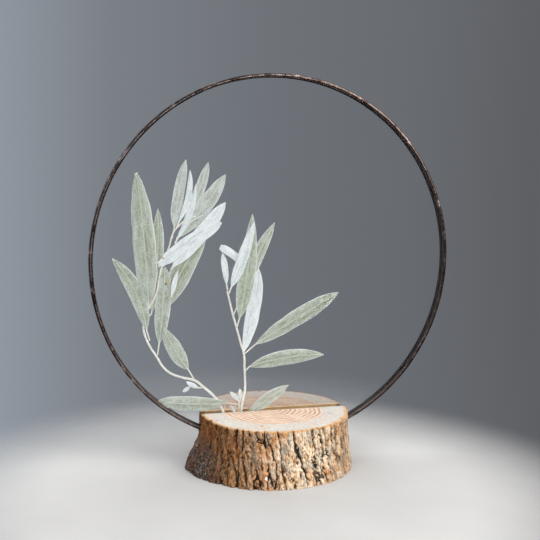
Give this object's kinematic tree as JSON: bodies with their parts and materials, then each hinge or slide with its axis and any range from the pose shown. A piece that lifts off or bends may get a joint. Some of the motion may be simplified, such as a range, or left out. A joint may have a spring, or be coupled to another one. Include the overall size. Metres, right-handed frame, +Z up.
{
  "type": "pressed flower frame",
  "caption": "Sprigs of narrow grey-green leaves pressed between clear round panes with a dark foil rim, standing upright in a saw cut across a slice of log with its bark on",
  "frame": {"origin": "on the underside of the log slice, below the middle of the round panes", "axes": "+Z up, +X along the panes and the saw cut, +Y from the front of the frame to its back"},
  "size_m": [0.2024, 0.0925, 0.2132],
  "materials": {
    "log_wood": "sawn, unfinished, with rough bark",
    "clear_glass": "polished",
    "dark_solder": "dark patina, satin, uneven",
    "pale_stem": "dry, matte",
    "sage_leaf": "dry, matte",
    "silver_leaf": "dry, matte"
  },
  "bodies": {
    "root": {"wood_base": "log_wood", "front_glass": "clear_glass", "back_glass": "clear_glass", "foil_rim": "dark_solder", "left_stem": "pale_stem", "right_stem": "pale_stem", "right_side_twig": "pale_stem", "left_leaf_01": "silver_leaf", "left_leaf_02": "silver_leaf", "left_leaf_03": "sage_leaf", "left_leaf_04": "sage_leaf", "left_leaf_05": "sage_leaf", "left_leaf_06": "sage_leaf", "left_leaf_07": "sage_leaf", "left_leaf_08": "sage_leaf", "left_leaf_09": "silver_leaf", "left_leaf_10": "silver_leaf", "left_leaf_11": "silver_leaf", "left_leaf_12": "sage_leaf", "left_leaf_13": "silver_leaf", "left_leaf_14": "sage_leaf", "left_leaf_15": "silver_leaf", "left_leaf_16": "sage_leaf", "left_leaf_17": "silver_leaf", "left_leaf_18": "silver_leaf", "right_leaf_01": "silver_leaf", "right_leaf_02": "sage_leaf", "right_leaf_03": "sage_leaf", "right_leaf_04": "silver_leaf", "right_leaf_05": "silver_leaf", "right_leaf_06": "sage_leaf", "right_leaf_07": "sage_leaf", "right_leaf_08": "silver_leaf", "right_leaf_09": "sage_leaf", "right_leaf_10": "sage_leaf", "right_leaf_11": "silver_leaf", "right_leaf_12": "silver_leaf", "right_leaf_13": "silver_leaf"}
  },
  "joints": []
}
